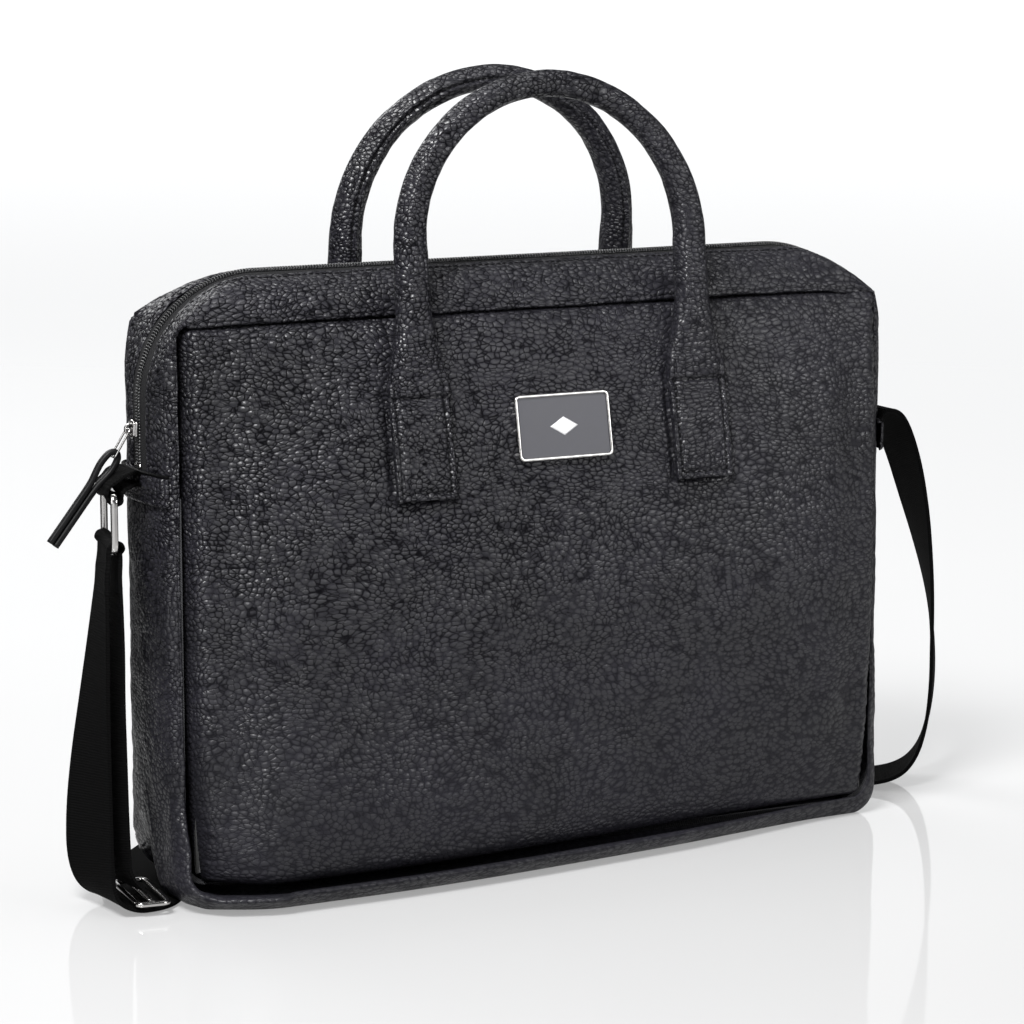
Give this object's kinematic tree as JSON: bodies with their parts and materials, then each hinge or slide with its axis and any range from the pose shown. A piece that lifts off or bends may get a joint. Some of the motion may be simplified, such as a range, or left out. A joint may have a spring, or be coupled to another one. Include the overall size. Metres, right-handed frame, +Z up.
{
  "type": "briefcase",
  "caption": "Soft leather briefcase with padded front and rear panels, a zipped gusset, two rolled carrying handles, a metal badge and a webbing shoulder strap.",
  "frame": {"origin": "on the floor under the middle of the bag", "axes": "+X along the width, to the right seen from the front; +Y from front to back; +Z up"},
  "size_m": [0.5139, 0.1822, 0.3899],
  "materials": {
    "leather": "pebbled, satin sheen",
    "handle_leather": "smooth pebbled, satin",
    "foam": "open foam",
    "lining": "twill lining",
    "board": "matte",
    "rope": "twisted cord",
    "webbing": "ribbed nylon webbing",
    "zip_tape": "woven tape",
    "zip_coil": "semi-gloss nylon coil",
    "nickel": "polished nickel",
    "badge_satin": "dark satin"
  },
  "bodies": {
    "case": {"front_panel": "leather", "front_padding": "foam", "rear_panel": "leather", "rear_padding": "foam", "lower_gusset": "leather", "gusset_lining": "lining", "front_top_gusset": "leather", "rear_top_gusset": "leather", "zip_tape_front": "zip_tape", "zip_tape_rear": "zip_tape", "side_hem_left": "leather", "side_hem_right": "leather", "front_stiffener": "board", "front_lining": "lining", "rear_stiffener": "board", "rear_lining": "lining", "base_board": "board", "laptop_divider": "lining", "inner_pocket": "lining", "badge_frame": "nickel", "badge_plate": "badge_satin", "badge_emblem": "nickel", "zip_coil": "zip_coil", "zip_stop_left": "nickel", "zip_stop_right": "nickel", "front_tab_left": "leather", "front_tab_right": "leather", "rear_tab_left": "leather", "rear_tab_right": "leather", "ring_tab": "webbing", "strap_webbing": "webbing", "strap_return": "webbing", "strap_anchor": "webbing", "strap_buckle": "nickel"},
    "front_handle": {"front_handle_sleeve": "handle_leather", "front_handle_core": "rope"},
    "rear_handle": {"rear_handle_sleeve": "handle_leather", "rear_handle_core": "rope"},
    "zip_slider": {"zip_slider": "nickel"},
    "zip_link": {"zip_link": "nickel"},
    "zip_pull": {"zip_pull": "handle_leather"},
    "ring": {"strap_ring": "nickel", "strap_end_loop": "webbing"}
  },
  "joints": [
    {"name": "front_handle_swing", "type": "hinge", "parent": "case", "child": "front_handle", "pos_m": [0, -0.044, 0.24], "axis": [1, 0, 0], "range_deg": [0, 100]},
    {"name": "rear_handle_swing", "type": "hinge", "parent": "case", "child": "rear_handle", "pos_m": [0, 0.044, 0.24], "axis": [1, 0, 0], "range_deg": [-100, 0]},
    {"name": "zip_slider_travel", "type": "slide", "parent": "case", "child": "zip_slider", "axis": [0, 0, 1], "range_m": [0, 0.011]},
    {"name": "zip_link_swing", "type": "hinge", "parent": "zip_slider", "child": "zip_link", "pos_m": [-0.2047, 0, 0.226], "axis": [0, 1, 0], "range_deg": [0, 45]},
    {"name": "zip_pull_swing", "type": "hinge", "parent": "zip_link", "child": "zip_pull", "pos_m": [-0.2125, 0, 0.2135], "axis": [0, 1, 0], "range_deg": [0, 60]},
    {"name": "ring_swing", "type": "hinge", "parent": "case", "child": "ring", "pos_m": [-0.215, 0, 0.1985], "axis": [0.2419, 0.9703, 0], "range_deg": [-10, 15]}
  ]
}
